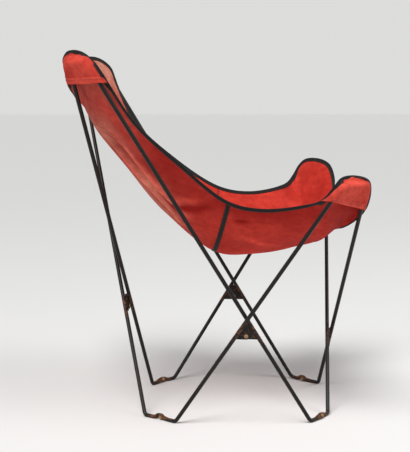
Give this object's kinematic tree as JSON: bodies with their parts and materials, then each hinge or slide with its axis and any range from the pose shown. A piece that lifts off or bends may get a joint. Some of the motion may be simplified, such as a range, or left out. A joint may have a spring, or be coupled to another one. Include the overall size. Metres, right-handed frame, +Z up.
{
  "type": "folding sling chair",
  "caption": "Butterfly sling chair with a folding frame of bent black steel rods and a coral red canvas sling hung by pockets on the four ears.",
  "frame": {"origin": "on the floor, under the middle of the chair's box", "axes": "+X to the front, +Y to the sitter's left, +Z up"},
  "size_m": [0.757, 0.81, 0.9113],
  "materials": {
    "rod_paint": "black paint, satin, chipped and rusty at the hinges",
    "plate_paint": "black paint, dull, brown rust at the edges",
    "rivet_steel": "worn steel, rust brown",
    "canvas": "sun-faded coral red cotton canvas, matt",
    "black_tape": "black woven cotton tape, matt"
  },
  "bodies": {
    "rear_rivet": {"rivet_rear_crossing": "rivet_steel"},
    "sling_back": {"back_panel": "canvas", "back_binding": "black_tape", "waist_seam_tape": "black_tape", "pocket_back_right": "canvas", "pocket_back_left": "canvas"},
    "sling_seat": {"seat_panel": "canvas", "seat_binding": "black_tape", "pocket_front_right": "canvas", "pocket_front_left": "canvas"},
    "leg_back_left_to_rear_right": {"rod_back_left_to_rear_right": "rod_paint", "plate_back_left_to_rear_right": "plate_paint", "rivet_rear_right_foot": "rivet_steel"},
    "leg_front_right_to_rear_right": {"rod_front_right_to_rear_right": "rod_paint", "plate_front_right_to_rear_right": "plate_paint", "rivet_right_crossing": "rivet_steel"},
    "leg_back_right_to_front_right": {"rod_back_right_to_front_right": "rod_paint", "plate_back_right_to_front_right": "plate_paint", "rivet_front_right_foot": "rivet_steel"},
    "leg_front_left_to_front_right": {"rod_front_left_to_front_right": "rod_paint", "plate_front_left_to_front_right": "plate_paint", "rivet_front_crossing_inner": "rivet_steel"},
    "leg_back_right_to_rear_left": {"rod_back_right_to_rear_left": "rod_paint", "plate_back_right_to_rear_left": "plate_paint", "rivet_rear_left_foot": "rivet_steel"},
    "leg_front_left_to_rear_left": {"rod_front_left_to_rear_left": "rod_paint", "plate_front_left_to_rear_left": "plate_paint", "rivet_left_crossing": "rivet_steel"},
    "leg_back_left_to_front_left": {"rod_back_left_to_front_left": "rod_paint", "plate_back_left_to_front_left": "plate_paint", "rivet_front_left_foot": "rivet_steel"},
    "leg_front_right_to_front_left": {"rod_front_right_to_front_left": "rod_paint", "plate_front_right_to_front_left": "plate_paint", "rivet_front_crossing_outer": "rivet_steel"}
  },
  "joints": [
    {"name": "fold_right", "type": "hinge", "parent": "rear_rivet", "child": "leg_back_left_to_rear_right", "pos_m": [-0.22104, 0, 0.25544], "axis": [0.9787, 0, 0.2055], "range_deg": [0, 24.31], "deforming": ["back_panel", "seat_panel", "back_binding", "seat_binding", "waist_seam_tape", "pocket_back_right", "pocket_back_left", "pocket_front_right", "pocket_front_left"]},
    {"name": "rear_foot_right", "type": "hinge", "parent": "leg_back_left_to_rear_right", "child": "leg_front_right_to_rear_right", "pos_m": [-0.134, -0.19, 0.0083], "axis": [-0.6726, -0.6708, -0.3124], "range_deg": [0, 57.04]},
    {"name": "side_crossing_right", "type": "hinge", "parent": "leg_front_right_to_rear_right", "child": "leg_back_right_to_front_right", "pos_m": [0.07106, -0.27367, 0.23024], "axis": [0.0631, 0.9758, 0.2094], "range_deg": [0, 50.38]},
    {"name": "front_foot_right", "type": "hinge", "parent": "leg_back_right_to_front_right", "child": "leg_front_left_to_front_right", "pos_m": [0.265, -0.192, 0.0083], "axis": [0.7339, -0.6018, 0.3152], "range_deg": [0, 45.23]},
    {"name": "fold_left", "type": "hinge", "parent": "rear_rivet", "child": "leg_back_right_to_rear_left", "pos_m": [-0.22104, 0, 0.25544], "axis": [-0.9787, 0, -0.2055], "range_deg": [0, 24.32]},
    {"name": "rear_foot_left", "type": "hinge", "parent": "leg_back_right_to_rear_left", "child": "leg_front_left_to_rear_left", "pos_m": [-0.134, 0.19, 0.0083], "axis": [0.6726, -0.6708, 0.3124], "range_deg": [0, 57.04]},
    {"name": "side_crossing_left", "type": "hinge", "parent": "leg_front_left_to_rear_left", "child": "leg_back_left_to_front_left", "pos_m": [0.07106, 0.27367, 0.23024], "axis": [-0.0631, 0.9758, -0.2094], "range_deg": [0, 50.38]},
    {"name": "front_foot_left", "type": "hinge", "parent": "leg_back_left_to_front_left", "child": "leg_front_right_to_front_left", "pos_m": [0.265, 0.192, 0.0083], "axis": [-0.7339, -0.6018, -0.3152], "range_deg": [0, 45.23]},
    {"name": "sling_rise", "type": "slide", "parent": "rear_rivet", "child": "sling_back", "axis": [-0.14, 0, 0.9902], "range_m": [0, 0.0851]},
    {"name": "seat_fold", "type": "hinge", "parent": "sling_back", "child": "sling_seat", "pos_m": [0.045, 0, 0.46], "axis": [0, -1, 0], "range_deg": [0, 103.01]}
  ],
  "couplings": [
    {"joint": "rear_foot_right", "follows": "fold_right", "ratio": 2.3459},
    {"joint": "side_crossing_right", "follows": "fold_right", "ratio": 2.072},
    {"joint": "front_foot_right", "follows": "fold_right", "ratio": 1.8601},
    {"joint": "fold_left", "follows": "fold_right", "ratio": 1},
    {"joint": "rear_foot_left", "follows": "fold_right", "ratio": 2.3459},
    {"joint": "side_crossing_left", "follows": "fold_right", "ratio": 2.072},
    {"joint": "front_foot_left", "follows": "fold_right", "ratio": 1.8601},
    {"joint": "sling_rise", "follows": "fold_right", "m_per_rad": 0.20034},
    {"joint": "seat_fold", "follows": "fold_right", "ratio": 4.2369}
  ]
}
